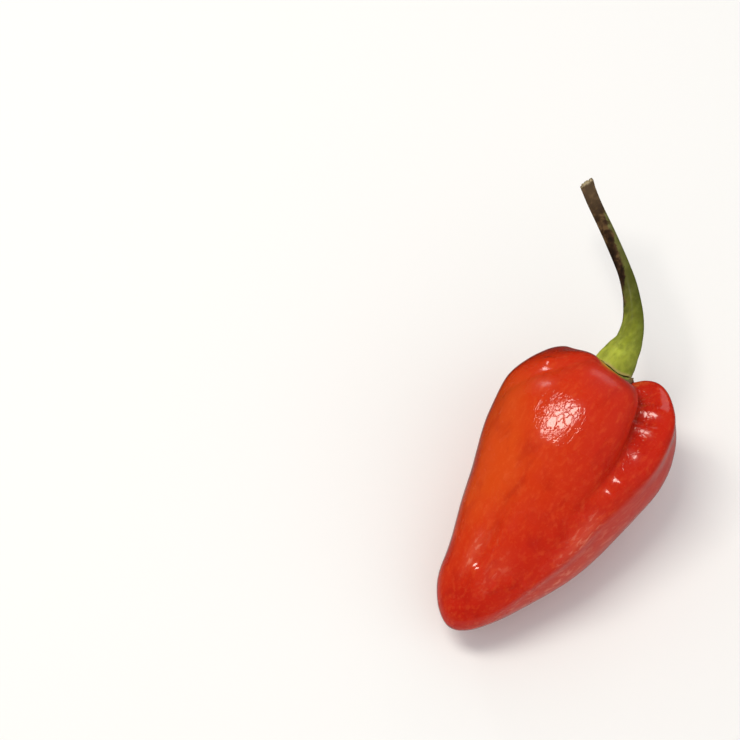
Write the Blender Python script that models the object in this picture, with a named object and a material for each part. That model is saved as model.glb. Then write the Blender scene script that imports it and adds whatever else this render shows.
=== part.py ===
"""A habanero chilli pepper, as picked and lying on its side: the lobed pod, its calyx and its stem.

Metres, +Z up. +X runs along the pod from its blossom tip to its stem end, and +Y is its left.
The origin is on the surface that the pepper lies on, under the middle of the whole pepper's box.
Angles round the pod are in degrees: 0 on top, 90 on the left, 180 underneath.
"""

import math
from collections import namedtuple

import bmesh
import bpy
import numpy as np
from mathutils import Matrix, Vector, noise

MM = 0.001
GAP = 0.3 * MM  # clear space between one piece and the next

# The pod's driving dimensions
POD_LENGTH = 54.0 * MM  # blossom tip to shoulder
POD_RADIUS = 16.0 * MM  # at its widest
POD_DEPTH_SHARE = 0.94  # its depth from top to underside, as a share of its breadth
SEAT_ASIDE = 2.4 * MM  # the stem end stands this far left of the pod's middle line
SEAT_ABOVE = 0.6 * MM
SEAT_SWING_FROM = 0.50  # share of the length where the middle line starts to bend towards it
POD_SIDES = 88
POD_RINGS = 56
CROWDING = (0.035, 0.015)  # how far the rings draw towards both ends, and towards the middle

# Half of the pod's outline, as shares of its length and radius, from the seat of the calyx to the tip
POD_OUTLINE = [
    (0.938, 0.00),
    (0.938, 0.13),
    (0.939, 0.25),
    (0.951, 0.35),
    (0.968, 0.46),
    (0.971, 0.58),
    (0.955, 0.70),
    (0.918, 0.82),
    (0.860, 0.925),
    (0.785, 0.99),
    (0.710, 1.00),
    (0.610, 0.955),
    (0.490, 0.845),
    (0.350, 0.715),
    (0.220, 0.560),
    (0.120, 0.425),
    (0.050, 0.270),
    (0.012, 0.125),
    (0.000, 0.00),
]
OUTLINE_STEPS = 400  # points of the outline, once smoothed
CURVE_STEPS = 24  # points worked out between two given ones of a smooth curve

# Valleys and swellings of the skin. start, peak and end are shares of the way from the seat of the
# calyx, over the shoulder, to the tip. angle is where a feature starts, turn is how far round it has
# gone by its end, and bow is how far it swings aside half way.
Feature = namedtuple("Feature", "angle turn bow width height start peak end")
FURROWS = [
    Feature(-55, 17, -3, 7, 3.8 * MM, 0.03, 0.22, 0.64),  # the deep groove beside the right lobe
    Feature(2, 77, -19, 10, 0.8 * MM, 0.10, 0.30, 0.46),  # faint, across the upper lobe's shoulder
    Feature(8, -6, 2, 9, 1.2 * MM, 0.46, 0.68, 0.93),  # shallow, low on the upper side
    Feature(102, 6, 0, 14, 2.2 * MM, 0.05, 0.26, 0.72),
    Feature(178, 0, 0, 20, 2.8 * MM, 0.05, 0.34, 0.80),  # between the two lobes that it rests on
    Feature(-128, 2, 0, 12, 1.5 * MM, 0.05, 0.25, 0.60),
]
SWELLINGS = [
    Feature(42, 6, 0, 42, -2.4 * MM, 0.03, 0.16, 0.36),  # the upper lobe's shoulder is lower
    Feature(-26, 0, 0, 30, -3.0 * MM, 0.03, 0.12, 0.27),  # and falls away towards the groove
    Feature(-84, 0, 0, 28, 1.2 * MM, 0.07, 0.24, 0.46),  # the right lobe stands highest
    Feature(-67, 6, 0, 10, 2.0 * MM, 0.05, 0.26, 0.56),  # beside the groove
    Feature(-64, 0, 0, 16, 1.15 * MM, 0.02, 0.10, 0.21),  # with a square shoulder
    Feature(-57, -6, 0, 9, 0.9 * MM, 0.36, 0.64, 0.96),  # and runs on as a ridge to the tip
    Feature(-92, 0, 0, 30, 0.9 * MM, 0.40, 0.68, 0.84),  # its flank, down to the tip
    Feature(-100, 0, 0, 26, 0.5 * MM, 0.16, 0.34, 0.54),
    Feature(-115, 0, 0, 34, -0.4 * MM, 0.78, 0.90, 0.99),
    Feature(140, 0, 0, 22, 1.5 * MM, 0.05, 0.30, 0.60),  # the two lower lobes
    Feature(-148, 0, 0, 22, 1.5 * MM, 0.05, 0.30, 0.60),
    Feature(180, 0, 0, 36, 0.8 * MM, 0.62, 0.82, 0.99),  # the tip droops a little
    Feature(68, 0, 0, 34, -0.5 * MM, 0.12, 0.30, 0.56),  # the left side is flatter
    Feature(76, 0, 0, 36, -0.9 * MM, 0.50, 0.72, 0.90),
]
VALLEY_ROUNDING = 0.4  # 0 is a knife-sharp valley
LUMP_HEIGHT = 0.35 * MM
LUMP_SIZE = 8.0 * MM
LUMP_FADE = 0.2  # share of the way from the seat over which the lumps grow to their full height

# How it lies: on three low points round its weight, each pressed to a small flat spot
LEAN = 12.0  # degrees that the pod leans, tip down, before it settles
SETTLING_STEPS = 12
FLAT_DEPTH = 0.15 * MM
TINY = 1e-6
SLIVER = 0.05 * MM * MM  # a smaller triangle of the hull has no sure direction

# The calyx: a thin green disc with five points, lying on the pod's crown
CALYX_THICKNESS = 0.9 * MM
CALYX_RIM_THICKNESS = 0.6 * MM
CALYX_SHARE = 0.074  # its edge, as a share of the way from the seat's middle to the tip
CALYX_POINT_SHARE = 0.024  # how much further its points reach
CALYX_POINTS = 5
CALYX_POINT_TURN = 15  # degrees from the top to the first point
CALYX_POINT_POWER = 5  # higher is narrower points
CALYX_SIDES = 60
CALYX_RINGS = 8

# The stem's middle line from the calyx, in the crown's own axes: along the pod, left, up
STEM_ROUTE = [
    (0.0, 0.0, 0.0),
    (3.3 * MM, 0.2 * MM, 0.1 * MM),
    (6.3 * MM, 0.5 * MM, 0.3 * MM),
    (10.2 * MM, 2.3 * MM, 0.6 * MM),
    (14.9 * MM, 6.5 * MM, 1.2 * MM),
    (19.5 * MM, 12.8 * MM, 1.7 * MM),
    (23.9 * MM, 19.5 * MM, 1.9 * MM),
    (26.95 * MM, 23.5 * MM, 1.9 * MM),
]
# Its radius against the share of its length
STEM_RADII = [
    (0.00, 3.65 * MM),
    (0.05, 3.40 * MM),
    (0.11, 2.85 * MM),
    (0.17, 2.25 * MM),
    (0.25, 1.85 * MM),
    (0.36, 1.50 * MM),
    (0.50, 1.26 * MM),
    (0.80, 1.18 * MM),
    (0.95, 1.22 * MM),
    (1.00, 1.30 * MM),
]
STEM_RIBS = 5
STEM_RIB_SHARE = 0.05
STEM_SIDES = 20
STEM_RINGS = 40
SCAR_RIM = 0.42 * MM  # wall left round the dry hollow where the stem was snapped off
SCAR_DEPTH = 0.6 * MM
SCAR_BULGE = 0.1 * MM  # how far the rim's inner edge stands out
SCAR_TAPER = 0.15 * MM
SNAP_SHARE = 0.88  # the stem was snapped at a slant, which begins here and faces this way
SNAP_SLANT = 0.9
SNAP_FACING = (-0.45, -0.05, 0.90)


def smooth_step(value):
    held = np.clip(value, 0.0, 1.0)
    return held * held * (3.0 - 2.0 * held)


def smooth_curve(points, count, before=None, after=None):
    """count points, evenly spaced, along a Catmull-Rom curve through the given ones."""
    given = np.array(points, float)
    first = 2 * given[0] - given[1] if before is None else np.array(before, float)
    last = 2 * given[-1] - given[-2] if after is None else np.array(after, float)
    knots = np.vstack([first, given, last])
    share = np.linspace(0, 1, CURVE_STEPS, endpoint=False)[:, None]
    spans = []
    for a, b, c, d in zip(knots, knots[1:], knots[2:], knots[3:]):
        spans.append(
            0.5
            * (
                2 * b
                + (c - a) * share
                + (2 * a - 5 * b + 4 * c - d) * share**2
                + (3 * b - 3 * c + d - a) * share**3
            )
        )
    line = np.vstack([*spans, given[-1:]])
    run = np.concatenate([[0], np.cumsum(np.linalg.norm(np.diff(line, axis=0), axis=1))])
    wanted = np.linspace(0, run[-1], count)
    return np.stack([np.interp(wanted, run, line[:, i]) for i in range(line.shape[1])], axis=1)


def pod_outline():
    """The outline's x and r at even steps from seat to tip, and its outward normal there."""
    outline = [(x * POD_LENGTH, r * POD_RADIUS) for x, r in POD_OUTLINE]
    # Mirrored in the axis at both ends, so that the seat and the tip are smooth
    before = (outline[1][0], -outline[1][1])
    after = (outline[-2][0], -outline[-2][1])
    line = smooth_curve(outline, OUTLINE_STEPS, before, after)
    along = np.gradient(line, axis=0)
    along /= np.linalg.norm(along, axis=1)[:, None]
    return line, np.stack([along[:, 1], -along[:, 0]], axis=1)


OUTLINE, OUTLINE_NORMALS = pod_outline()


def envelope(share, feature):
    """How strong a feature is at each share of the way to the tip: 0, up to 1 and back to 0."""
    up = smooth_step((share - feature.start) / (feature.peak - feature.start))
    down = smooth_step((feature.end - share) / (feature.end - feature.peak))
    return np.minimum(up, down)


def off_centre(share, angle, feature):
    """Angle from a feature's middle, as a multiple of its width."""
    way = np.clip((share - feature.start) / (feature.end - feature.start), 0, 1)
    middle = feature.angle + feature.turn * way + feature.bow * 4 * way * (1 - way)
    return ((angle - middle + 180) % 360 - 180) / feature.width


def relief(share, angle):
    """How far the skin stands out of the plain turned shape."""
    height = np.zeros(np.broadcast(share, angle).shape)
    for furrow in FURROWS:
        off = off_centre(share, angle, furrow)
        valley = np.exp(VALLEY_ROUNDING - np.hypot(off, VALLEY_ROUNDING))
        height -= furrow.height * envelope(share, furrow) * valley
    for swelling in SWELLINGS:
        off = off_centre(share, angle, swelling)
        height += swelling.height * envelope(share, swelling) * np.exp(-off * off)
    return height


def lumps(points, share):
    """A slight unevenness of the skin, which leaves the seat plain."""
    height = np.array([noise.noise(Vector(p) / LUMP_SIZE) for p in points.reshape(-1, 3)])
    return LUMP_HEIGHT * height.reshape(share.shape) * smooth_step(share / LUMP_FADE)


def pod_surface(share, angle, lift=0.0):
    """Points of the pod's skin, lifted off it along its normal, in the pod's own axes."""
    share, angle = np.broadcast_arrays(np.asarray(share, float), np.asarray(angle, float))
    steps = np.linspace(0, 1, len(OUTLINE))
    x, r = (np.interp(share, steps, OUTLINE[:, i]) for i in range(2))
    normal_x, normal_r = (np.interp(share, steps, OUTLINE_NORMALS[:, i]) for i in range(2))
    turn = np.radians(angle)

    def placed(out):
        along = x + out * normal_x
        radius = r + out * normal_r
        swing = smooth_step((along / POD_LENGTH - SEAT_SWING_FROM) / (1 - SEAT_SWING_FROM))
        left = SEAT_ASIDE * swing + radius * np.sin(turn)
        up = SEAT_ABOVE * swing + radius * np.cos(turn) * POD_DEPTH_SHARE
        return np.stack([along, left, up], axis=-1)

    out = relief(share, angle)
    return placed(out + lumps(placed(out), share) + lift)


def ring_shares():
    """Shares of the way to the tip for the pod's rings, closer together on crown and tip."""
    even = np.linspace(0, 1, POD_RINGS + 2)[1:-1]
    ends, middle = CROWDING
    return even - ends * np.sin(2 * math.pi * even) - middle * np.sin(4 * math.pi * even)


def pod_angles():
    return np.arange(POD_SIDES)[None, :] * 360 / POD_SIDES


def hull_triangles(points):
    """The corners of the triangles of the points' convex hull, without its slivers."""
    hull = bmesh.new()
    for point in points:
        hull.verts.new(point)
    bmesh.ops.convex_hull(hull, input=hull.verts)
    bmesh.ops.triangulate(hull, faces=hull.faces)
    corners = np.array([[corner.vert.co for corner in face.loops] for face in hull.faces])
    hull.free()
    sides = corners[:, 1:] - corners[:, :1]
    areas = np.linalg.norm(np.cross(sides[:, 0], sides[:, 1]), axis=1) / 2
    return corners[areas > SLIVER]


def resting_pose(points):
    """The turn that lays the pod on three low points: the face of its hull that is under its weight."""
    corners = hull_triangles(points)
    middle = points.mean(axis=0)
    first, second, third = (corners - middle).transpose(1, 0, 2)
    normals = np.cross(second - first, third - first)
    volumes = np.einsum("ij,ij->i", first, normals)
    normals *= (np.sign(volumes) / np.linalg.norm(normals, axis=1))[:, None]
    centres = (first + second + third) / 4
    weight = (np.abs(volumes)[:, None] * centres).sum(axis=0) / np.abs(volumes).sum()
    ahead = np.einsum("ij,ij->i", normals, first - weight)
    down = Vector((0, 0, -1))
    pose = Matrix.Rotation(math.radians(-LEAN), 3, "Y")
    for _ in range(SETTLING_STEPS):
        facing = normals @ np.array(pose.transposed() @ down)
        way = np.where(facing > TINY, ahead / np.maximum(facing, TINY), np.inf)
        under = pose @ Vector(normals[way.argmin()])
        pose = under.rotation_difference(down).to_matrix() @ pose
    return np.array(pose)


def closed_tube(name, rings, first_pole, last_pole):
    """A mesh object from rings of points, each end closed to a pole point."""
    mesh = bmesh.new()
    loops = [[mesh.verts.new(p) for p in ring] for ring in rings]
    first = mesh.verts.new(first_pole)
    last = mesh.verts.new(last_pole)
    count = len(loops[0])
    for i in range(count):
        j = (i + 1) % count
        mesh.faces.new((first, loops[0][j], loops[0][i]))
        mesh.faces.new((last, loops[-1][i], loops[-1][j]))
        for a, b in zip(loops, loops[1:]):
            mesh.faces.new((a[i], a[j], b[j], b[i]))
    bmesh.ops.recalc_face_normals(mesh, faces=mesh.faces)
    data = bpy.data.meshes.new(name)
    mesh.to_mesh(data)
    mesh.free()
    data.shade_smooth()
    made = bpy.data.objects.new(name, data)
    bpy.context.scene.collection.objects.link(made)
    return made


def paint(made, colour, roughness):
    """The object's own Principled material."""
    material = bpy.data.materials.new(made.name + "_skin")
    material.use_nodes = True
    shader = material.node_tree.nodes["Principled BSDF"]
    shader.inputs["Base Color"].default_value = (*colour, 1)
    shader.inputs["Roughness"].default_value = roughness
    shader.inputs["Metallic"].default_value = 0
    made.data.materials.append(material)


def make_pod(pose):
    """The pod, turned to lie on its feet, which are pressed flat on the surface."""
    skin = pod_surface(ring_shares()[:, None], pod_angles())
    poles = pod_surface(np.array([0.0, 1.0]), np.zeros(2))
    rings, ends = skin @ pose.T, poles @ pose.T
    sunk = rings[..., 2].min() + FLAT_DEPTH
    for points in (rings, ends):
        points[..., 2] = np.maximum(points[..., 2] - sunk, 0)
    pod = closed_tube("pod", rings, *ends)
    paint(pod, (0.60, 0.035, 0.010), 0.22)
    return pod, sunk


def make_calyx():
    """The calyx, in the pod's axes: a skin of even thickness lying on the crown."""
    angles = np.arange(CALYX_SIDES) * 360 / CALYX_SIDES
    pointed = np.abs(np.cos(np.radians(angles - CALYX_POINT_TURN) * CALYX_POINTS / 2))
    pointed = pointed**CALYX_POINT_POWER
    reach = CALYX_SHARE + CALYX_POINT_SHARE * pointed
    under, top = [], []
    for step in np.linspace(0, 1, CALYX_RINGS + 1)[1:]:
        thickness = CALYX_THICKNESS + (CALYX_RIM_THICKNESS - CALYX_THICKNESS) * step**3
        under.append(pod_surface(reach * step, angles, GAP))
        top.append(pod_surface(reach * step, angles, GAP + thickness))
    middle = pod_surface(np.zeros(1), np.zeros(1), GAP)[0]
    summit = pod_surface(np.zeros(1), np.zeros(1), GAP + CALYX_THICKNESS)[0]
    calyx = closed_tube("calyx", [*under, *reversed(top)], middle, summit)
    paint(calyx, (0.13, 0.14, 0.03), 0.55)
    return calyx, summit


def stem_frames(line):
    """For each point of the stem's middle line, two unit vectors across it, without twist."""
    along = np.gradient(line, axis=0)
    along /= np.linalg.norm(along, axis=1)[:, None]
    across = np.cross(along[0], (0.0, 1.0, 0.0))
    frames = []
    for direction in along:
        across = across - direction * (across @ direction)
        across /= np.linalg.norm(across)
        frames.append((across, np.cross(direction, across)))
    return frames


def make_stem(foot):
    """The stem, in the pod's axes: flared where it meets the calyx, ribbed, and snapped off dry."""
    line = smooth_curve(STEM_ROUTE, STEM_RINGS) + foot
    line[:, 0] += GAP
    frames = stem_frames(line)
    shares = np.linspace(0, 1, STEM_RINGS)
    radii = np.interp(shares, *zip(*STEM_RADII))
    turns = np.radians(np.arange(STEM_SIDES) * 360 / STEM_SIDES)
    ribs = 1 + STEM_RIB_SHARE * np.cos(STEM_RIBS * turns)[:, None]

    slants = SNAP_SLANT * smooth_step((shares - SNAP_SHARE) / (1 - SNAP_SHARE))

    def ring(i, radius, back=0.0):
        a, b = frames[i]
        circle = np.cos(turns)[:, None] * a + np.sin(turns)[:, None] * b
        onward = np.cross(a, b)
        cut = slants[i] * (radii[i] + radius * (circle @ SNAP_FACING))
        return line[i] + circle * ribs * radius + onward * (back - cut[:, None])

    rings = [ring(i, radius) for i, radius in enumerate(radii)]
    last = STEM_RINGS - 1
    rings.append(ring(last, radii[-1] - SCAR_RIM, SCAR_BULGE))
    rings.append(ring(last, radii[-1] - SCAR_RIM - SCAR_TAPER, -SCAR_DEPTH))
    bottom = rings[-1].mean(axis=0)
    stem = closed_tube("stem", rings, line[0], bottom)
    paint(stem, (0.16, 0.22, 0.03), 0.45)
    return stem


def main():
    for old in list(bpy.data.objects):
        bpy.data.objects.remove(old)
    pose = resting_pose(pod_surface(ring_shares()[:, None], pod_angles()).reshape(-1, 3))
    pod, sunk = make_pod(pose)
    calyx, summit = make_calyx()
    stem = make_stem(summit)

    # The calyx and the stem are laid as the pod is, and all three hang on one empty
    pepper = bpy.data.objects.new("pepper", None)
    bpy.context.scene.collection.objects.link(pepper)
    pieces = (pod, calyx, stem)
    for piece in pieces:
        piece.parent = pepper
    for green in (calyx, stem):
        green.rotation_euler = Matrix(pose.tolist()).to_euler()
        green.location.z = -sunk
    bpy.context.view_layer.update()
    corners = [(piece, vertex.co) for piece in pieces for vertex in piece.data.vertices]
    places = np.array([piece.matrix_world @ place for piece, place in corners])
    middle = (places.min(axis=0) + places.max(axis=0)) / 2
    pepper.location = (-middle[0], -middle[1], 0)


main()
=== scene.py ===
"""The looks of a habanero chilli pepper lying on its side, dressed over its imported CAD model.

Metres, +Z up, in the CAD model's frame: +X from the pod's blossom tip to its stem end, +Y to its left.
The pod, the calyx and the stem are made again from the CAD model's own values, with a finer skin.
Angles round the pod are in degrees: 0 on top, 90 on the left, 180 underneath.
"""

import math
from collections import namedtuple

import bmesh
import bpy
import numpy as np
from mathutils import Euler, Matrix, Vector, noise

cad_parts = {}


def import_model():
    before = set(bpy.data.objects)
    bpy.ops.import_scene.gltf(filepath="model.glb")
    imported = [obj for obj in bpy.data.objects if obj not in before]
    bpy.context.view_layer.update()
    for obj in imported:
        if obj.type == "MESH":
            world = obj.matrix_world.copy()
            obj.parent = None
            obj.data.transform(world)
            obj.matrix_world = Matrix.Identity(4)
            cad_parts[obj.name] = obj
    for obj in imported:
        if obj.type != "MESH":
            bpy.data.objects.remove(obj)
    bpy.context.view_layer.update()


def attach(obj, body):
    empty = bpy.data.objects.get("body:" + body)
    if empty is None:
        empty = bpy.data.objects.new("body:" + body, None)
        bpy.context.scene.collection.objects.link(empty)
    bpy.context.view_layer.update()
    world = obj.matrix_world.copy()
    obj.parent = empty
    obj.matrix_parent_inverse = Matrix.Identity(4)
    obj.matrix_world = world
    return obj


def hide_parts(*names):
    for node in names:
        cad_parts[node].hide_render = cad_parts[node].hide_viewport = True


MM = 0.001
GAP = 0.3 * MM  # clear space between the pod and the calyx
INSET = 0.03 * MM  # the finer shapes are drawn in by this much, to stay within the CAD model's box

# The pod's driving dimensions, as in the CAD model
POD_LENGTH = 54.0 * MM  # blossom tip to shoulder
POD_RADIUS = 16.0 * MM  # at its widest
POD_DEPTH_SHARE = 0.94  # its depth from top to underside, as a share of its breadth
SEAT_ASIDE = 2.4 * MM  # the stem end stands this far left of the pod's middle line
SEAT_ABOVE = 0.6 * MM
SEAT_SWING_FROM = 0.50  # share of the length where the middle line starts to bend towards it
POD_SIDES = 400
POD_RINGS = 245
CROWDING = (0.035, 0.015)  # how far the rings draw towards both ends, and towards the middle

# Half of the pod's outline, as shares of its length and radius, from the seat of the calyx to the tip
POD_OUTLINE = [
    (0.938, 0.00),
    (0.938, 0.13),
    (0.939, 0.25),
    (0.951, 0.35),
    (0.968, 0.46),
    (0.971, 0.58),
    (0.955, 0.70),
    (0.918, 0.82),
    (0.860, 0.925),
    (0.785, 0.99),
    (0.710, 1.00),
    (0.610, 0.955),
    (0.490, 0.845),
    (0.350, 0.715),
    (0.220, 0.560),
    (0.120, 0.425),
    (0.050, 0.270),
    (0.012, 0.125),
    (0.000, 0.00),
]
OUTLINE_STEPS = 400  # points of the outline, once smoothed
CURVE_STEPS = 24  # points worked out between two given ones of a smooth curve

# Valleys and swellings of the skin. start, peak and end are shares of the way from the seat of the
# calyx, over the shoulder, to the tip. angle is where a feature starts, turn is how far round it has
# gone by its end, and bow is how far it swings aside half way.
Feature = namedtuple("Feature", "angle turn bow width height start peak end")
FURROWS = [
    Feature(-55, 17, -3, 7, 3.8 * MM, 0.03, 0.22, 0.64),  # the deep groove beside the right lobe
    Feature(2, 77, -19, 10, 0.8 * MM, 0.10, 0.30, 0.46),  # faint, across the upper lobe's shoulder
    Feature(8, -6, 2, 9, 1.2 * MM, 0.46, 0.68, 0.93),  # shallow, low on the upper side
    Feature(102, 6, 0, 14, 2.2 * MM, 0.05, 0.26, 0.72),
    Feature(178, 0, 0, 20, 2.8 * MM, 0.05, 0.34, 0.80),  # between the two lobes that it rests on
    Feature(-128, 2, 0, 12, 1.5 * MM, 0.05, 0.25, 0.60),
]
SWELLINGS = [
    Feature(42, 6, 0, 42, -2.4 * MM, 0.03, 0.16, 0.36),  # the upper lobe's shoulder is lower
    Feature(-26, 0, 0, 30, -3.0 * MM, 0.03, 0.12, 0.27),  # and falls away towards the groove
    Feature(-84, 0, 0, 28, 1.2 * MM, 0.07, 0.24, 0.46),  # the right lobe stands highest
    Feature(-67, 6, 0, 10, 2.0 * MM, 0.05, 0.26, 0.56),  # beside the groove
    Feature(-64, 0, 0, 16, 1.15 * MM, 0.02, 0.10, 0.21),  # with a square shoulder
    Feature(-57, -6, 0, 9, 0.9 * MM, 0.36, 0.64, 0.96),  # and runs on as a ridge to the tip
    Feature(-92, 0, 0, 30, 0.9 * MM, 0.40, 0.68, 0.84),  # its flank, down to the tip
    Feature(-100, 0, 0, 26, 0.5 * MM, 0.16, 0.34, 0.54),
    Feature(-115, 0, 0, 34, -0.4 * MM, 0.78, 0.90, 0.99),
    Feature(140, 0, 0, 22, 1.5 * MM, 0.05, 0.30, 0.60),  # the two lower lobes
    Feature(-148, 0, 0, 22, 1.5 * MM, 0.05, 0.30, 0.60),
    Feature(180, 0, 0, 36, 0.8 * MM, 0.62, 0.82, 0.99),  # the tip droops a little
    Feature(68, 0, 0, 34, -0.5 * MM, 0.12, 0.30, 0.56),  # the left side is flatter
    Feature(76, 0, 0, 36, -0.9 * MM, 0.50, 0.72, 0.90),
]
VALLEY_ROUNDING = 0.4  # 0 is a knife-sharp valley
LUMP_HEIGHT = 0.35 * MM
LUMP_SIZE = 8.0 * MM
LUMP_FADE = 0.2  # share of the way from the seat over which the lumps grow to their full height

# The skin's own fine relief, which the CAD model leaves out
RIPPLES = [
    Feature(35, 0, 0, 6, 0.35 * MM, 0.25, 0.275, 0.31),  # on the upper lobe's shoulder
    # Wrinkles across the crest of the right lobe, from the shoulder down
    Feature(-56, 0, 0, 4, 0.35 * MM, 0.176, 0.190, 0.206),
    Feature(-55, 0, 0, 6, 1.00 * MM, 0.200, 0.224, 0.254),
    Feature(-55, 0, 0, 6, -0.65 * MM, 0.234, 0.263, 0.284),
    Feature(-54, 0, 0, 4, 0.60 * MM, 0.268, 0.281, 0.305),
    Feature(-54, 0, 0, 5, -0.20 * MM, 0.295, 0.315, 0.340),
    Feature(-53, 0, 0, 4, 0.25 * MM, 0.330, 0.350, 0.380),
    Feature(-54, 0, 0, 4, 0.55 * MM, 0.420, 0.440, 0.462),
    Feature(-53, 0, 0, 4, 0.55 * MM, 0.457, 0.477, 0.500),
    # Low, near the tip
    Feature(4, 0, 0, 5, 0.25 * MM, 0.80, 0.82, 0.845),
    Feature(-29, 0, 0, 6, 0.35 * MM, 0.805, 0.83, 0.855),
    Feature(-42, 0, 0, 7, 0.35 * MM, 0.77, 0.795, 0.82),
]
DIMPLE_HEIGHT = 0.03 * MM
DIMPLE_SIZE = 3.2 * MM
DIMPLE_SHIFT = 31.0 * MM  # moves the dimples' noise away from the lumps'

# Where the skin is crackled by fine wrinkles. Here, height is from 0, smooth, to 1
WRINKLED = [
    Feature(3, 0, 0, 17, 1.0, 0.31, 0.40, 0.50),  # on top of the upper lobe
    Feature(-57, 15, -3, 4, 0.7, 0.06, 0.20, 0.62),  # along the crest of the right lobe
    Feature(-2, 0, 0, 12, 0.4, 0.62, 0.74, 0.86),
]
WRINKLE_DEPTH = 0.035 * MM
WRINKLE_SIZE = 1.15 * MM
WRINKLE_STRETCH = 0.6  # below 1, the wrinkles are longer along the pod
WRINKLE_WIDTH = 0.11  # as a share of the size
WRINKLE_WANDER = 1.5  # how far noise moves their corners, on the same terms
WRINKLE_WANDER_SCALE = 1.2  # higher is finer noise
PLAIN_SKIN_WRINKLES = 0.06  # how crackled the rest of the skin is

# Where the skin is scuffed and duller, on the same terms
SCUFFED = [
    Feature(-95, 0, 0, 32, 1.0, 0.06, 0.45, 0.99),  # low on the right flank
    Feature(-32, 0, 0, 20, 0.8, 0.02, 0.10, 0.60),  # where the upper lobe falls away to the groove
    Feature(-14, 0, 0, 26, 0.9, 0.14, 0.25, 0.36),  # and on the crown beside the calyx
    Feature(25, 0, 0, 9, 1.0, 0.30, 0.345, 0.40),  # below the ripple on the shoulder
]
SCUFF_DEPTH = 0.06 * MM
SCUFF_ROUGHNESS = 0.22  # how much rougher it is there

# Where pale streaks of painted highlight and painted floor reflection lie on the skin, on the same terms
PAINTED_SHEEN_PATCHES = [
    Feature(-56, -3, 0, 6, 1.0, 0.50, 0.58, 0.76),  # painted highlights on the ridge below the groove
    Feature(-88, 0, 0, 22, 0.7, 0.30, 0.74, 1.05),  # and all down the flank, as painted reflection of the floor
    Feature(14, 4, 0, 6, 0.7, 0.70, 0.78, 0.88),  # beside the low furrow
    Feature(-20, 0, 0, 10, 0.35, 0.70, 0.80, 0.90),  # and between the two
]
TIP_SCAR_SHARE = 0.985  # where the dry dot left by the flower begins

# How it lies, as the CAD model has settled
POSE = (-3.4438, -9.0507, 0.6295)  # turns about X, Y and Z, in degrees
PLACE = (-39.2163 * MM, -5.7318 * MM, 7.2326 * MM)

# The calyx: a thin green disc with five points, lying on the pod's crown
CALYX_THICKNESS = 0.9 * MM
CALYX_RIM_THICKNESS = 0.6 * MM
CALYX_SHARE = 0.074  # its edge, as a share of the way from the seat's middle to the tip
CALYX_POINT_SHARE = 0.010  # how much further its points reach
CALYX_POINTS = 5
CALYX_POINT_TURN = 15  # degrees from the top to the first point
CALYX_POINT_POWER = 9  # higher is narrower points
CALYX_WEAR = 0.5  # how much shorter its most worn points are, as a share
CALYX_WEAR_WAVES = 3
CALYX_WEAR_SEED = 0.5
CALYX_VEINS = 20
CALYX_VEIN_DEPTH = 0.12 * MM
CALYX_SIDES = 240
CALYX_RINGS = 24

# The stem's middle line from the calyx, in the crown's own axes: along the pod, left, up
STEM_ROUTE = [
    (0.0, 0.0, 0.0),
    (3.3 * MM, 0.2 * MM, 0.1 * MM),
    (6.3 * MM, 0.5 * MM, 0.3 * MM),
    (10.2 * MM, 2.3 * MM, 0.6 * MM),
    (14.9 * MM, 6.5 * MM, 1.2 * MM),
    (19.5 * MM, 12.8 * MM, 1.7 * MM),
    (23.9 * MM, 19.5 * MM, 1.9 * MM),
    (26.95 * MM, 23.5 * MM, 1.9 * MM),
]
# Its radius against the share of its length
STEM_RADII = [
    (0.00, 3.65 * MM),
    (0.05, 3.40 * MM),
    (0.11, 2.85 * MM),
    (0.17, 2.25 * MM),
    (0.25, 1.85 * MM),
    (0.36, 1.50 * MM),
    (0.50, 1.26 * MM),
    (0.80, 1.18 * MM),
    (0.95, 1.22 * MM),
    (1.00, 1.30 * MM),
]
STEM_RIBS = 5
STEM_RIB_SHARE = 0.05  # how far its ribs stand out, as a share of its radius
STEM_SIDES = 120
STEM_RINGS = 260
FOOT_STEPS = (0.50, 0.62, 0.74, 0.87)  # rings under the foot, as shares of its radius
FOOT_GAP = 0.12 * MM  # clear space under the foot
FOOT_FADE = 2.6 * MM  # how far up the stem the foot's fit to the calyx fades away
SCAR_RIM = 0.42 * MM  # wall left round the dry hollow where the stem was snapped off
SCAR_DEPTH = 0.9 * MM
SCAR_BULGE = 0.1 * MM  # how far the rim's inner edge stands out
SCAR_TAPER = 0.15 * MM  # how much narrower the hollow is at its bottom
SNAP_SHARE = 0.88  # the stem was snapped at a slant, which begins here
SNAP_SLANT = 0.9  # 0 is square across
SNAP_FACING = (-0.45, -0.05, 0.90)
TORN_SHARE = 0.965  # and its edge is torn, from here on
TORN_DEPTH = 0.60 * MM  # from the deepest notch to the furthest splinter
TORN_REACH = 0.20 * MM  # how much of that stands past the slant
TORN_WAVES = 3.6  # higher is more notches
TORN_SEED = 7.5

# Colours, as linear red, green and blue
POD_COLOURS = [
    (0.10, (0.490, 0.011, 0.004)),
    (0.30, (0.530, 0.018, 0.005)),
    (0.75, (0.580, 0.036, 0.005)),
    (1.00, (0.620, 0.060, 0.006)),
]
# deep red: the skin's own in random patches, and painted shade in the groove
DEEP_RED_AND_GROOVE_SHADE_COLOUR = (0.360, 0.005, 0.003)
STREAK_COLOUR = (0.760, 0.120, 0.030)
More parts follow.
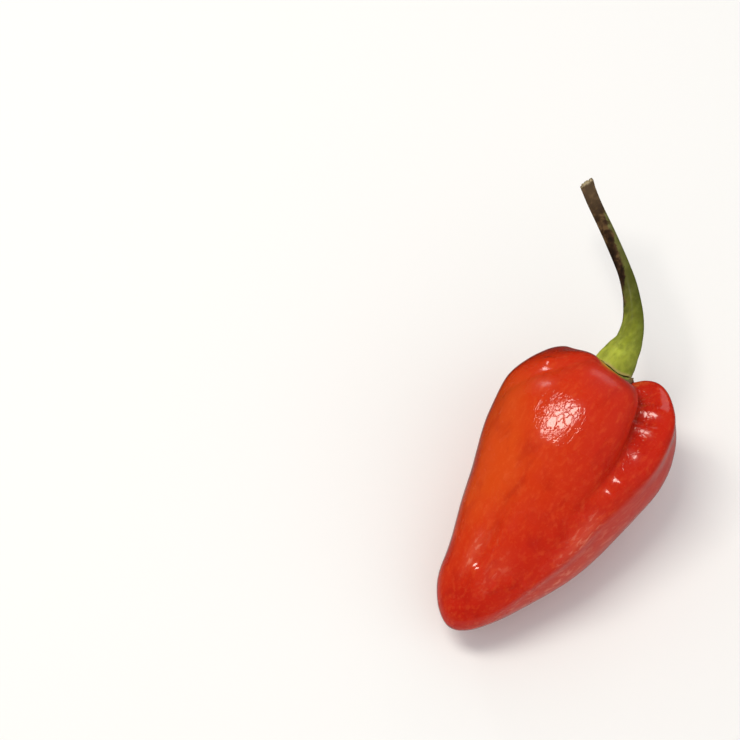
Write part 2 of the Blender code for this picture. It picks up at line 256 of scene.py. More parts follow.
# pale pink of the painted highlights and the painted floor reflection
PAINTED_SHEEN_COLOUR = (0.780, 0.280, 0.180)
SPECK_COLOUR = (0.800, 0.150, 0.040)
TIP_SCAR_COLOUR = (0.120, 0.040, 0.015)
ORANGE_ANGLE = 55.0  # where round the pod the skin is most orange
ORANGE_SHARE = 0.55  # and where along it
ORANGE_WIDTH = 60.0
ORANGE_REACH = 0.27
STEM_COLOURS = [
    (0.12, (0.440, 0.500, 0.055)),
    (0.30, (0.220, 0.250, 0.022)),
    (0.50, (0.072, 0.074, 0.008)),
    (0.66, (0.100, 0.095, 0.020)),
    (0.90, (0.170, 0.150, 0.055)),
]
STEM_PALE_COLOUR = (0.200, 0.230, 0.060)
# dark olive: random dark mottles, and painted shade down one side of the stem
STEM_DARK_AND_SHADE_COLOUR = (0.060, 0.075, 0.010)
STEM_RIM_COLOUR = (0.420, 0.330, 0.120)
STEM_DRY_COLOUR = (0.130, 0.085, 0.045)
BARK_COLOURS = [
    (0.35, (0.012, 0.005, 0.002)),
    (0.50, (0.035, 0.016, 0.006)),
    (0.62, (0.110, 0.062, 0.024)),
]
SCAR_COLOURS = [
    (0.35, (0.120, 0.080, 0.035)),
    (0.62, (0.480, 0.390, 0.240)),
]
STEM_BROWN_SIDE = (-0.59, 0.81, 0.0)  # the way that the stem's browner side faces
CALYX_COLOURS = [
    (0.84, (0.230, 0.260, 0.040)),
    (0.95, (0.200, 0.165, 0.050)),
    (1.00, (0.150, 0.085, 0.028)),
]

# Noise in a material: the size of its features, how rough they are, how they are drawn out along X
# (longer below 1), and how they swirl
Grain = namedtuple("Grain", "size detail stretch swirl", defaults=(2, 1.0, 0.0))
# How a number becomes a share: weakest at low, strongest at high, and level beyond the two
Fade = namedtuple("Fade", "low high weakest strongest", defaults=(0.0, 1.0))

# The pod's skin
RIPENESS_PATCHES = Grain(9.0 * MM)
RIPENESS_PATCH_SHARE = 0.35
RIPENESS_FLAMES = Grain(2.2 * MM, 3, 0.6)
RIPENESS_FLAME_SHARE = 0.20
# painted shade: how far the groove's depth darkens the skin to deep red
GROOVE_SHADE_FADE = Fade(0.05, 0.9, 0.0, 0.38)
DEEP_GRAIN = Grain(4.0 * MM, 4, 0.5, 0.4)  # patches of deeper red
DEEP_FADE = Fade(0.50, 0.72, 0.0, 0.35)
STREAK_GRAIN = Grain(0.8 * MM, 3, 0.45)  # faint streaks all over
STREAK_FADE = Fade(0.48, 0.75, 0.0, 0.20)
PAINTED_SHEEN_GRAIN = Grain(0.7 * MM, 4, 0.3, 0.4)  # pale streaks of painted highlight and painted reflection, in those patches
PAINTED_SHEEN_FADE = Fade(0.50, 0.70, 0.15, 0.80)
SPECK_GRAIN = Grain(0.40 * MM)
SPECK_FADE = Fade(0.54, 0.72, 0.0, 0.10)
CRACKLE_FADE = Fade(0.15, 0.65, PLAIN_SKIN_WRINKLES, 1.0)
SCUFF_GRAIN = Grain(1.5 * MM, 4, 0.6, 0.5)
GLOSS_GRAIN = Grain(2.5 * MM, 3)  # the skin's roughness
GLOSS_FADE = Fade(0.3, 0.7, 0.20, 0.28)
COAT_ROUGHNESS = 0.06
SKIN_GRAIN = Grain(0.16 * MM)
SKIN_GRAIN_DEPTH = 0.004 * MM

# The stem's and the calyx's
STEM_GRAIN = Grain(2.2 * MM, 3)
STEM_GRAIN_SHARE = 0.25
PALE_GRAIN = Grain(1.3 * MM, 4, 0.5, 0.3)
PALE_FADE = Fade(0.42, 0.70, 0.0, 0.26)
DARK_GRAIN = Grain(0.9 * MM, 5, 0.6, 0.3)
DARK_FADE = Fade(0.35, 0.75, 0.0, 0.42)
# painted shade: darker on the side that faces away from the browner one
SHADED_SIDE_FADE = Fade(0.1, -0.8, 0.0, 0.45)
RIM_FADE = Fade(0.016, 0.004, 0.0, 0.8)  # against the share of the stem's length
BARK_GRAIN = Grain(1.6 * MM, 5, 1.0, 0.3)
DRY_FADE = Fade(0.70, 0.95, 0.0, 0.55)  # the same
BROWNING_SIDE_SHARE = 0.28
BROWNING_GRAIN = Grain(3.0 * MM, 4, 1.0, 0.6)
BROWNING_GRAIN_SHARE = 0.9
BROWNING_FADE = Fade(0.97, 1.09)  # from green to bark
BROWNING_ROUGHNESS = Fade(0.7, 1.1, 0.36, 0.75)
SCAR_GRAIN = Grain(0.5 * MM, 3)
FIBRE_GRAIN = Grain(0.45 * MM, 3)
FIBRE_DEPTH = 0.05 * MM
DRYNESS_GRAIN = Grain(1.2 * MM, 3)  # how far in the calyx is dry
DRYNESS_GRAIN_SHARE = 0.2
SEPAL_GRAIN = Grain(0.5 * MM, 3)
SEPAL_GRAIN_DEPTH = 0.08 * MM

# The photograph: its camera, and the pixel where the middle of the stem's foot is
PICTURE_SIDE = 740
PIXEL = 0.170 * MM  # what one pixel covers at the stem's foot
VIEW_AZIMUTH = -53.8
VIEW_ELEVATION = 64.0
VIEW_DISTANCE = 0.45
STEM_FOOT_PIXEL = (611.7, 371.2)
SENSOR_WIDTH = 36.0  # in millimetres, as Blender has it
CLIP_START = 0.01

# Soft lights, each facing the pepper from its direction. A shown one is seen in the gloss of the skin
Light = namedtuple("Light", "name direction size power colour shown", defaults=((1.0, 1.0, 1.0), True))
LIGHTS = [
    Light("window", (-0.12, 0.33, 0.93), (0.15, 0.31), 1.95, (1.0, 0.95, 0.86)),
    Light("side_light", (-0.10, -0.82, 0.45), (0.90, 0.90), 1.25, shown=False),
    Light("lamp", (0.35, 0.855, 0.39), (0.08, 0.08), 0.18),
    Light("far_window", (0.91, 0.14, 0.41), (0.30, 0.30), 0.24),
]
LIGHT_DISTANCE = 0.60
LIGHT_TARGET = (0.0, 0.0, 12.0 * MM)
ROOM_BRIGHTNESS = 0.57
FLOOR_SIDE = 6.0
FLOOR_COLOUR = (0.84, 0.84, 0.84)
# The round patch of floor that shows in the skin, mainly low on the right flank
MIRRORED_CENTRE = (-0.025, -0.022)
MIRRORED_RADII = (0.095, 0.055)
MIRRORED_COLOUR = (0.62, 0.54, 0.52)
MIRRORED_FADE = Fade(0.0, 0.6)  # from the patch's edge inwards


def smooth_step(value):
    held = np.clip(value, 0.0, 1.0)
    return held * held * (3.0 - 2.0 * held)


def smooth_curve(points, count, before=None, after=None):
    """count points, evenly spaced, along a Catmull-Rom curve through the given ones."""
    given = np.array(points, float)
    first = 2 * given[0] - given[1] if before is None else np.array(before, float)
    last = 2 * given[-1] - given[-2] if after is None else np.array(after, float)
    knots = np.vstack([first, given, last])
    share = np.linspace(0, 1, CURVE_STEPS, endpoint=False)[:, None]
    spans = []
    for a, b, c, d in zip(knots, knots[1:], knots[2:], knots[3:]):
        doubled = 2 * b + (c - a) * share
        doubled = doubled + (2 * a - 5 * b + 4 * c - d) * share**2
        doubled = doubled + (3 * b - 3 * c + d - a) * share**3
        spans.append(0.5 * doubled)
    line = np.vstack([*spans, given[-1:]])
    run = np.concatenate([[0], np.cumsum(np.linalg.norm(np.diff(line, axis=0), axis=1))])
    wanted = np.linspace(0, run[-1], count)
    return np.stack([np.interp(wanted, run, line[:, i]) for i in range(line.shape[1])], axis=1)


def pod_outline():
    """The outline's x and r at even steps from seat to tip, and its outward normal there."""
    outline = [(x * POD_LENGTH, r * POD_RADIUS) for x, r in POD_OUTLINE]
    # Mirrored in the axis at both ends, so that the seat and the tip are smooth
    before = (outline[1][0], -outline[1][1])
    after = (outline[-2][0], -outline[-2][1])
    line = smooth_curve(outline, OUTLINE_STEPS, before, after)
    along = np.gradient(line, axis=0)
    along /= np.linalg.norm(along, axis=1)[:, None]
    return line, np.stack([along[:, 1], -along[:, 0]], axis=1)


OUTLINE, OUTLINE_NORMALS = pod_outline()


def envelope(share, feature):
    """How strong a feature is at each share of the way to the tip: 0, up to 1 and back to 0."""
    up = smooth_step((share - feature.start) / (feature.peak - feature.start))
    down = smooth_step((feature.end - share) / (feature.end - feature.peak))
    return np.minimum(up, down)


def off_centre(share, angle, feature):
    """Angle from a feature's middle, as a multiple of its width."""
    way = np.clip((share - feature.start) / (feature.end - feature.start), 0, 1)
    middle = feature.angle + feature.turn * way + feature.bow * 4 * way * (1 - way)
    return ((angle - middle + 180) % 360 - 180) / feature.width


def furrow_depth(share, angle, furrow):
    """How deep a furrow is: a V across, rounded at its bottom."""
    off = off_centre(share, angle, furrow)
    valley = np.exp(VALLEY_ROUNDING - np.hypot(off, VALLEY_ROUNDING))
    return furrow.height * envelope(share, furrow) * valley


def swollen(share, angle, swelling):
    """How high a swelling is: a bell across."""
    return swelling.height * envelope(share, swelling) * np.exp(-off_centre(share, angle, swelling) ** 2)


def relief(share, angle, swellings):
    """How far the skin stands out of the plain turned shape."""
    height = np.zeros(np.broadcast(share, angle).shape)
    for furrow in FURROWS:
        height -= furrow_depth(share, angle, furrow)
    for swelling in swellings:
        height += swollen(share, angle, swelling)
    return height


def noise_field(points, size):
    """Smooth noise from -1 to 1 at each point, with features of that size."""
    scaled = points.reshape(-1, 3) / size
    return np.array([noise.noise(Vector(p)) for p in scaled]).reshape(points.shape[:-1])


def dimples(points, share):
    """The fine unevenness of the skin, which leaves the seat plain."""
    uneven = noise_field(points + DIMPLE_SHIFT, DIMPLE_SIZE)
    return DIMPLE_HEIGHT * uneven * smooth_step(share / LUMP_FADE)


def ragged(turns, waves, seed):
    """Smooth noise from -1 to 1 that closes on itself round a rim."""
    places = [Vector((waves * math.cos(turn), waves * math.sin(turn), seed)) for turn in turns]
    return np.array([noise.noise(place) for place in places])


def patched(share, angle, patches):
    """How far the skin is under any of those patches, from 0 to 1."""
    return np.maximum.reduce([swollen(share, angle, patch) for patch in patches])


def pod_surface(share, angle, lift=0.0, detailed=False):
    """Points of the pod's skin, lifted off it along its normal, in the pod's own axes."""
    share, angle = np.broadcast_arrays(np.asarray(share, float), np.asarray(angle, float))
    steps = np.linspace(0, 1, len(OUTLINE))
    x, r = (np.interp(share, steps, OUTLINE[:, i]) for i in range(2))
    normal_x, normal_r = (np.interp(share, steps, OUTLINE_NORMALS[:, i]) for i in range(2))
    turn = np.radians(angle)

    def placed(out):
        along = x + out * normal_x
        radius = r + out * normal_r
        swing = smooth_step((along / POD_LENGTH - SEAT_SWING_FROM) / (1 - SEAT_SWING_FROM))
        left = SEAT_ASIDE * swing + radius * np.sin(turn)
        up = SEAT_ABOVE * swing + radius * np.cos(turn) * POD_DEPTH_SHARE
        return np.stack([along, left, up], axis=-1)

    out = relief(share, angle, SWELLINGS + RIPPLES if detailed else SWELLINGS)
    grown = placed(out)
    out += LUMP_HEIGHT * noise_field(grown, LUMP_SIZE) * smooth_step(share / LUMP_FADE)
    if detailed:
        out += dimples(grown, share) - INSET
    return placed(out + lift)


def ring_shares():
    """Shares of the way to the tip for the pod's rings, closer together on crown and tip."""
    even = np.linspace(0, 1, POD_RINGS + 2)[1:-1]
    ends, middle = CROWDING
    return even - ends * np.sin(2 * math.pi * even) - middle * np.sin(4 * math.pi * even)


def closed_tube(name, rings, first_pole, last_pole):
    """A mesh object from rings of points, each end closed to a pole point."""
    rings = np.array(rings)
    count, sides = rings.shape[:2]
    points = [*rings.reshape(-1, 3).tolist(), list(first_pole), list(last_pole)]
    first, last = count * sides, count * sides + 1
    here = np.arange(sides)
    after = np.roll(here, -1)
    faces = [(first, b, a) for a, b in zip(here.tolist(), after.tolist())]
    ends = here + (count - 1) * sides, after + (count - 1) * sides
    faces += [(last, a, b) for a, b in zip(ends[0].tolist(), ends[1].tolist())]
    for ring in range(count - 1):
        low, high = ring * sides, (ring + 1) * sides
        quads = np.stack([low + here, low + after, high + after, high + here], axis=1)
        faces += quads.tolist()
    data = bpy.data.meshes.new(name)
    data.from_pydata(points, [], faces)
    mesh = bmesh.new()
    mesh.from_mesh(data)
    bmesh.ops.recalc_face_normals(mesh, faces=mesh.faces)
    mesh.to_mesh(data)
    mesh.free()
    data.shade_smooth()
    made = bpy.data.objects.new(name, data)
    bpy.context.scene.collection.objects.link(made)
    return made


def mark(made, name, values, poles=(0, 0)):
    """Stores a number for each point of the tube, ring by ring, and for its two poles."""
    attribute = made.data.attributes.new(name, "FLOAT", "POINT")
    numbers = np.append(np.asarray(values, np.float32).ravel(), poles)
    attribute.data.foreach_set("value", numbers)


def laid(points):
    """Points in the pod's own axes, where they are once the pepper lies on the floor."""
    turn = np.array(Euler([math.radians(degrees) for degrees in POSE]).to_matrix())
    return np.asarray(points, float) @ turn.T + PLACE


class Skin:
    """A Principled material being built: each call adds a node and joins what goes into it."""

    def __init__(self, name):
        self.material = bpy.data.materials.new(name)
        self.material.use_nodes = True
        self.tree = self.material.node_tree
        self.shader = self.tree.nodes["Principled BSDF"]
        self.place = self.add("ShaderNodeTexCoord").outputs["Object"]

    def join(self, value, socket):
        if isinstance(value, bpy.types.NodeSocket):
            self.tree.links.new(value, socket)
        else:
            socket.default_value = value

    def add(self, kind, inputs=(), **settings):
        node = self.tree.nodes.new(kind)
        for key, value in settings.items():
            setattr(node, key, value)
        for key, value in dict(inputs).items():
            self.join(value, node.inputs[key])
        return node

    def stored(self, name):
        """A number that mark() has stored on the mesh."""
        return self.add("ShaderNodeAttribute", attribute_name=name).outputs["Fac"]

    def scaled(self, size, stretch):
        """Places on the object in units of that size, drawn out along X by a stretch below 1."""
        inputs = {"Vector": self.place, "Scale": (stretch / size, 1 / size, 1 / size)}
        return self.add("ShaderNodeMapping", inputs).outputs["Vector"]

    def noise(self, grain):
        """Noise from 0 to 1."""
        inputs = {
            "Vector": self.scaled(grain.size, grain.stretch),
            "Scale": 1.0,
            "Detail": grain.detail,
            "Distortion": grain.swirl,
        }
        return self.add("ShaderNodeTexNoise", inputs).outputs["Fac"]

    def mottled(self, grain, fade):
        """Noise, faded to a share."""
        return self.fade(self.noise(grain), fade)

    def wrinkles(self):
        """Distance from the edges of irregular cells, as a share of their size."""
        place = self.scaled(WRINKLE_SIZE, WRINKLE_STRETCH)
        inputs = {"Vector": place, "Scale": WRINKLE_WANDER_SCALE, "Detail": 2.0}
        wander = self.add("ShaderNodeTexNoise", inputs).outputs["Color"]
        inputs = {0: wander, 1: [WRINKLE_WANDER] * 3, 2: place}
        moved = self.add("ShaderNodeVectorMath", inputs, operation="MULTIPLY_ADD")
        inputs = {"Vector": moved.outputs["Vector"], "Scale": 1.0}
        cells = self.add("ShaderNodeTexVoronoi", inputs, feature="DISTANCE_TO_EDGE")
        return cells.outputs["Distance"]

    def spot(self, centre, radii):
        """1 in the middle of an ellipse, falling to 0 at its edge."""
        (x, y), (a, b) = centre, radii
        inputs = {"Vector": self.place, "Location": (-x / a, -y / b, 0), "Scale": (1 / a, 1 / b, 1)}
        centred = self.add("ShaderNodeMapping", inputs).outputs["Vector"]
        ball = self.add("ShaderNodeTexGradient", {"Vector": centred}, gradient_type="SPHERICAL")
        return ball.outputs["Fac"]

    def sum(self, first, second, times=1.0):
        """first + second * times"""
        inputs = {0: second, 1: times, 2: first}
        return self.add("ShaderNodeMath", inputs, operation="MULTIPLY_ADD").outputs["Value"]

    def fade(self, value, fade):
        """A number, carried smoothly to a share."""
        inputs = {
            "Value": value,
            "From Min": fade.low,
            "From Max": fade.high,
            "To Min": fade.weakest,
            "To Max": fade.strongest,
        }
        node = self.add("ShaderNodeMapRange", inputs, interpolation_type="SMOOTHSTEP")
        return node.outputs["Result"]

    def ramp(self, value, stops):
        """Colours against a number, joined smoothly."""
        node = self.add("ShaderNodeValToRGB", {"Fac": value})
        elements = node.color_ramp.elements
        while len(elements) < len(stops):
            elements.new(0.5)
        for element, (position, colour) in zip(elements, stops):
            element.position = position
            element.color = (*colour, 1)
        return node.outputs["Color"]

    def mix(self, share, first, second, blend="MIX"):
        """first, with a share of second over it. Sockets 0, 6 and 7 are the node's for colours."""
        node = self.add("ShaderNodeMix", data_type="RGBA", blend_type=blend, clamp_result=True)
        for value, socket in ((share, 0), (first, 6), (second, 7)):
            self.join((*value, 1) if isinstance(value, tuple) else value, node.inputs[socket])
        return node.outputs[2]

    def bump(self, height, depth, under=None, strength=1.0):
        """A normal for a height from 0 to 1 that is depth deep."""
        inputs = {"Height": height, "Distance": depth, "Strength": strength}
        if under is not None:
            inputs["Normal"] = under
        return self.add("ShaderNodeBump", inputs).outputs["Normal"]

    def finish(self, **inputs):
        """The material, with these inputs of its shader set or joined."""
        for name, value in inputs.items():
            self.join(value, self.shader.inputs[name.replace("_", " ")])
        return self.material


def pod_skin():
    """Glossy, waxy orange-red skin: more orange on the left, painted shade darkening it to deep red in
    the grooves, and pale painted highlights and painted floor reflection laid on as streaks.
    """
    skin = Skin("pod_skin")
    ripeness = skin.sum(skin.stored("orange"), skin.noise(RIPENESS_PATCHES), RIPENESS_PATCH_SHARE)
    ripeness = skin.sum(ripeness, skin.noise(RIPENESS_FLAMES), RIPENESS_FLAME_SHARE)
    colour = skin.ramp(ripeness, POD_COLOURS)
    # painted shade: darker red the deeper the groove
    colour = skin.mix(skin.fade(skin.stored("hollow"), GROOVE_SHADE_FADE), colour, DEEP_RED_AND_GROOVE_SHADE_COLOUR)
    colour = skin.mix(skin.mottled(DEEP_GRAIN, DEEP_FADE), colour, DEEP_RED_AND_GROOVE_SHADE_COLOUR)
    colour = skin.mix(skin.mottled(STREAK_GRAIN, STREAK_FADE), colour, STREAK_COLOUR)
    # painted highlight and painted floor reflection: pale pink streaks in the marked patches
    sheen_share = skin.sum(0.0, skin.mottled(PAINTED_SHEEN_GRAIN, PAINTED_SHEEN_FADE), skin.stored("painted_sheen"))
    colour = skin.mix(sheen_share, colour, PAINTED_SHEEN_COLOUR)
    colour = skin.mix(skin.mottled(SPECK_GRAIN, SPECK_FADE), colour, SPECK_COLOUR)
    colour = skin.mix(skin.stored("scar"), colour, TIP_SCAR_COLOUR)
    cracks = skin.fade(skin.wrinkles(), Fade(0.0, WRINKLE_WIDTH))
    crackled = skin.fade(skin.stored("wrinkled"), CRACKLE_FADE)
    relief_normal = skin.bump(cracks, WRINKLE_DEPTH, strength=crackled)
    scuffed = skin.stored("scuffed")
    relief_normal = skin.bump(skin.noise(SCUFF_GRAIN), SCUFF_DEPTH, relief_normal, scuffed)
    relief_normal = skin.bump(skin.noise(SKIN_GRAIN), SKIN_GRAIN_DEPTH, relief_normal)
    roughness = skin.sum(skin.mottled(GLOSS_GRAIN, GLOSS_FADE), scuffed, SCUFF_ROUGHNESS)
    return skin.finish(
        Base_Color=colour,
        Roughness=roughness,
        Subsurface_Weight=0.12,
        Subsurface_Radius=(1.0, 0.16, 0.06),
        Subsurface_Scale=2.5 * MM,
        Specular_IOR_Level=0.12,
        Coat_Weight=1.0,
        Coat_Roughness=skin.sum(COAT_ROUGHNESS, scuffed, SCUFF_ROUGHNESS),
        Coat_IOR=1.5,
        Normal=relief_normal,
        Coat_Normal=relief_normal,
    )


def stem_skin():
    """Fleshy green at the foot, with painted shade down one side, and brown patches that take over
    towards the broken end.
    """
    skin = Skin("stem_skin")
    along, side = skin.stored("along"), skin.stored("side")
    green = skin.ramp(skin.sum(along, skin.noise(STEM_GRAIN), STEM_GRAIN_SHARE), STEM_COLOURS)
    green = skin.mix(skin.mottled(PALE_GRAIN, PALE_FADE), green, STEM_PALE_COLOUR, "SCREEN")
    green = skin.mix(skin.mottled(DARK_GRAIN, DARK_FADE), green, STEM_DARK_AND_SHADE_COLOUR)
    # painted shade down the stem's side that faces away from its browner side
    green = skin.mix(skin.fade(side, SHADED_SIDE_FADE), green, STEM_DARK_AND_SHADE_COLOUR)
    green = skin.mix(skin.fade(along, RIM_FADE), green, STEM_RIM_COLOUR)
    bark = skin.ramp(skin.noise(BARK_GRAIN), BARK_COLOURS)
    bark = skin.mix(skin.fade(along, DRY_FADE), bark, STEM_DRY_COLOUR)
    browning = skin.sum(along, side, BROWNING_SIDE_SHARE)
    browning = skin.sum(browning, skin.noise(BROWNING_GRAIN), BROWNING_GRAIN_SHARE)
    colour = skin.mix(skin.fade(browning, BROWNING_FADE), green, bark)
    colour = skin.mix(skin.stored("scar"), colour, skin.ramp(skin.noise(SCAR_GRAIN), SCAR_COLOURS))
    return skin.finish(
        Base_Color=colour,
        Roughness=skin.fade(browning, BROWNING_ROUGHNESS),
        Specular_IOR_Level=0.12,
        Subsurface_Weight=0.08,
        Subsurface_Radius=(0.5, 1.0, 0.15),
        Subsurface_Scale=1.0 * MM,
        Normal=skin.bump(skin.noise(FIBRE_GRAIN), FIBRE_DEPTH),
    )


def calyx_skin():
    """Olive sepals, dry and brown along their rim."""
    skin = Skin("calyx_skin")
    dryness = skin.sum(skin.stored("rim"), skin.noise(DRYNESS_GRAIN), DRYNESS_GRAIN_SHARE)
    grained = skin.bump(skin.noise(SEPAL_GRAIN), SEPAL_GRAIN_DEPTH)
    return skin.finish(Base_Color=skin.ramp(dryness, CALYX_COLOURS), Roughness=0.6, Normal=grained)


def make_pod():
    """The pod, with its flat spots where it is pressed to the floor."""
    shares = ring_shares()[:, None]
    angles = np.arange(POD_SIDES)[None, :] * 360 / POD_SIDES
    rings = laid(pod_surface(shares, angles, detailed=True))
    poles = laid(pod_surface(np.array([0.0, 1.0]), np.zeros(2)))
    for points in (rings, poles):
        points[..., 2] = np.maximum(points[..., 2], 0)
    pod = closed_tube("pod_body", rings, *poles)
    groove = FURROWS[0]
    # the groove's depth, for the painted shade in it
    mark(pod, "hollow", furrow_depth(shares, angles, groove) / groove.height)
    round_way = ((angles - ORANGE_ANGLE + 180) % 360 - 180) / ORANGE_WIDTH
    length_way = (shares - ORANGE_SHARE) / ORANGE_REACH
    mark(pod, "orange", np.exp(-(round_way**2) - length_way**2))
    mark(pod, "wrinkled", patched(shares, angles, WRINKLED))
    mark(pod, "scuffed", patched(shares, angles, SCUFFED))
    # where the painted highlights and the painted floor reflection lie
    mark(pod, "painted_sheen", patched(shares, angles, PAINTED_SHEEN_PATCHES))
    scarred = smooth_step((shares - TIP_SCAR_SHARE) / (1 - TIP_SCAR_SHARE))
    mark(pod, "scar", np.repeat(scarred, POD_SIDES), (0, 1))
    pod.data.materials.append(pod_skin())
    return pod


def calyx_thickness(step):
    """The calyx's thickness at a share of the way from its middle to its rim."""
    return CALYX_THICKNESS + (CALYX_RIM_THICKNESS - CALYX_THICKNESS) * step**3


def calyx_fall(radius, turns):
    """How far past its middle the calyx's top reaches at that radius; below 0, it falls short.

    The stem's turns run the other way round from the pod's angles.
    """
    share = radius / np.linalg.norm(np.diff(OUTLINE, axis=0), axis=1).sum()
    lift = GAP + calyx_thickness(share / CALYX_SHARE)
    middle = pod_surface(0.0, 0.0, GAP + CALYX_THICKNESS)
    return pod_surface(share, -np.degrees(turns), lift)[:, 0] - middle[0]


def make_calyx():
    """The calyx: a skin of uneven thickness lying on the crown, with a ragged rim and veins."""
    angles = np.arange(CALYX_SIDES) * 360 / CALYX_SIDES
    turns = np.radians(angles)
    pointed = np.abs(np.cos(np.radians(angles - CALYX_POINT_TURN) * CALYX_POINTS / 2))
    worn = 1 - CALYX_WEAR * np.abs(ragged(turns, CALYX_WEAR_WAVES, CALYX_WEAR_SEED))
    reach = CALYX_SHARE + CALYX_POINT_SHARE * pointed**CALYX_POINT_POWER * worn
    steps = np.linspace(0, 1, CALYX_RINGS + 1)[1:]
    under, top = [], []
    for step in steps:
        veins = CALYX_VEIN_DEPTH * step * (1 + np.cos(turns * CALYX_VEINS)) / 2
        thickness = calyx_thickness(step) - veins
        under.append(pod_surface(reach * step, angles, GAP))
        top.append(pod_surface(reach * step, angles, GAP + thickness))
    middle = pod_surface(0.0, 0.0, GAP)
    summit = pod_surface(0.0, 0.0, GAP + CALYX_THICKNESS)
    rings = [*under, *reversed(top)]
    calyx = closed_tube("calyx_star", laid(rings), laid(middle), laid(summit))
    mark(calyx, "rim", np.repeat([*steps, *reversed(steps)], CALYX_SIDES))
    calyx.data.materials.append(calyx_skin())
    return calyx, summit


def stem_frames(line):
    """For each point of the stem's middle line, two unit vectors across it, without twist."""
    along = np.gradient(line, axis=0)
    along /= np.linalg.norm(along, axis=1)[:, None]
    across = np.cross(along[0], (0.0, 1.0, 0.0))
    frames = []
    for direction in along:
        across = across - direction * (across @ direction)
        across /= np.linalg.norm(across)
        frames.append((across, np.cross(direction, across)))
    return frames


def make_stem(foot):
    """The stem: flared where it meets the calyx, ribbed, and snapped off dry."""
    line = smooth_curve(STEM_ROUTE, STEM_RINGS) + foot
    line[:, 0] += FOOT_GAP
    frames = stem_frames(line)
    shares = np.linspace(0, 1, STEM_RINGS)
    radii = np.interp(shares, *zip(*STEM_RADII)) - INSET
    turns = np.radians(np.arange(STEM_SIDES) * 360 / STEM_SIDES)
    ribs = 1 + STEM_RIB_SHARE * np.cos(STEM_RIBS * turns)[:, None]
    slants = SNAP_SLANT * smooth_step((shares - SNAP_SHARE) / (1 - SNAP_SHARE))
    torn = smooth_step((shares - TORN_SHARE) / (1 - TORN_SHARE))
    notches = TORN_DEPTH * (1 + ragged(turns, TORN_WAVES, TORN_SEED)) / 2 - TORN_REACH
    run = np.linalg.norm(line - line[0], axis=1)
    settled = (1 - smooth_step(run / FOOT_FADE))[:, None] * calyx_fall(radii[0], turns)

    def ring(i, radius, further=0.0):
        """A ring of that radius round the middle line's point i, or further along by so much."""
        a, b = frames[i]
        circle = np.cos(turns)[:, None] * a + np.sin(turns)[:, None] * b
        onward = np.cross(a, b)
        cut = slants[i] * (radii[i] + radius * (circle @ SNAP_FACING)) + torn[i] * notches
        forward = further + settled[i] - cut
        return line[i] + circle * ribs * radius + onward * forward[:, None]

    unders = [radii[0] * step for step in FOOT_STEPS]
    rings = [ring(0, radius, calyx_fall(radius, turns) - settled[0]) for radius in unders]
    rings += [ring(i, radius) for i, radius in enumerate(radii)]
    last = STEM_RINGS - 1
    rings.append(ring(last, radii[-1] - SCAR_RIM, SCAR_BULGE))
    rings.append(ring(last, radii[-1] - SCAR_RIM - SCAR_TAPER, -SCAR_DEPTH))
    bottom = rings[-1].mean(axis=0)
    rings, foot_centre = laid(rings), laid(line[0])
    stem = closed_tube("stem_stalk", rings, foot_centre, laid(bottom))
    order = np.arange(len(rings)) - len(FOOT_STEPS)
    mark(stem, "along", np.repeat(np.clip(order / last, 0, 1), STEM_SIDES), (0, 1))
    outward = rings - rings.mean(axis=1, keepdims=True)
    outward /= np.linalg.norm(outward, axis=-1, keepdims=True)
    mark(stem, "side", outward @ STEM_BROWN_SIDE)
    mark(stem, "scar", np.repeat(order > last, STEM_SIDES), (0, 1))
    stem.data.materials.append(stem_skin())
    return stem, foot_centre


def look_at(made, target):
    """Turns a camera or a light towards a point."""
    made.rotation_mode = "QUATERNION"
    made.rotation_quaternion = (made.location - Vector(target)).to_track_quat("Z", "Y")


def make_camera(stem_foot):
    """The photograph's camera, aimed so that the stem's foot falls on its own pixel."""
    azimuth, elevation = math.radians(VIEW_AZIMUTH), math.radians(VIEW_ELEVATION)
    level = math.cos(elevation)
    back = Vector((math.sin(azimuth) * level, -math.cos(azimuth) * level, math.sin(elevation)))
    right = Vector((math.cos(azimuth), math.sin(azimuth), 0))
    up = back.cross(right)
    across, down = ((value - PICTURE_SIDE / 2) * PIXEL for value in STEM_FOOT_PIXEL)
    centre = Vector(stem_foot) - right * across + up * down
    camera = bpy.data.objects.new("camera", bpy.data.cameras.new("camera"))
    bpy.context.scene.collection.objects.link(camera)
    camera.location = centre + back * VIEW_DISTANCE
    look_at(camera, centre)
    camera.data.sensor_width = SENSOR_WIDTH
    camera.data.lens = SENSOR_WIDTH * VIEW_DISTANCE / (PICTURE_SIDE * PIXEL)
    camera.data.clip_start = CLIP_START
    bpy.context.scene.camera = camera


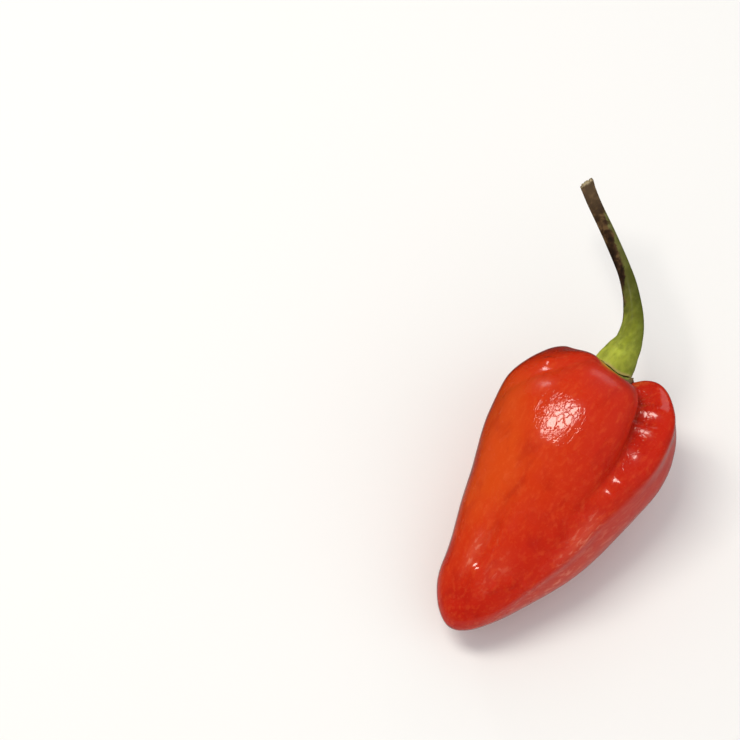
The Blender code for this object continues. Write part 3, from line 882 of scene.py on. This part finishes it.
def make_light(light):
    """One of LIGHTS, facing the pepper."""
    data = bpy.data.lights.new(light.name, "AREA")
    data.energy = light.power
    data.shape = "RECTANGLE"
    data.size, data.size_y = light.size
    data.color = light.colour
    made = bpy.data.objects.new(light.name, data)
    bpy.context.scene.collection.objects.link(made)
    made.location = Vector(light.direction).normalized() * LIGHT_DISTANCE
    made.visible_glossy = light.shown
    look_at(made, LIGHT_TARGET)


def make_sheet(name, centre, radii, material):
    """A flat rectangle of floor."""
    (x, y), (a, b) = centre, radii
    corners = [(x - a, y - b, 0), (x + a, y - b, 0), (x + a, y + b, 0), (x - a, y + b, 0)]
    data = bpy.data.meshes.new(name)
    data.from_pydata(corners, [], [(0, 1, 2, 3)])
    data.materials.append(material)
    sheet = bpy.data.objects.new(name, data)
    bpy.context.scene.collection.objects.link(sheet)
    return sheet


def make_floor():
    """A pale floor, of which only a round patch, faded to black at its edge, shows in the skin."""
    paper = Skin("floor_paper").finish(Base_Color=(*FLOOR_COLOUR, 1), Roughness=0.9)
    half = FLOOR_SIDE / 2
    floor = make_sheet("floor", (0, 0), (half, half), paper)
    floor.visible_glossy = False
    skin = Skin("floor_paper_mirrored")
    inside = skin.fade(skin.spot(MIRRORED_CENTRE, MIRRORED_RADII), MIRRORED_FADE)
    paper = skin.finish(Base_Color=skin.mix(inside, (0, 0, 0), MIRRORED_COLOUR))
    mirrored = make_sheet("floor_mirrored", MIRRORED_CENTRE, MIRRORED_RADII, paper)
    mirrored.visible_camera = False
    mirrored.visible_diffuse = False
    mirrored.visible_shadow = False


def make_room():
    """Pale light from everywhere, which doesn't show in the skin."""
    world = bpy.data.worlds.new("room")
    world.use_nodes = True
    background = world.node_tree.nodes["Background"]
    background.inputs["Color"].default_value = (1, 1, 1, 1)
    background.inputs["Strength"].default_value = ROOM_BRIGHTNESS
    bpy.context.scene.world = world
    world.cycles_visibility.glossy = False
    bpy.context.scene.view_settings.view_transform = "Standard"


def main():
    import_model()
    pod = make_pod()
    calyx, summit = make_calyx()
    stem, stem_foot = make_stem(summit)
    for piece, node in ((pod, "pod"), (calyx, "calyx"), (stem, "stem")):
        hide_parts(node)
        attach(piece, "root")
    make_floor()
    make_room()
    for light in LIGHTS:
        make_light(light)
    make_camera(stem_foot)


main()
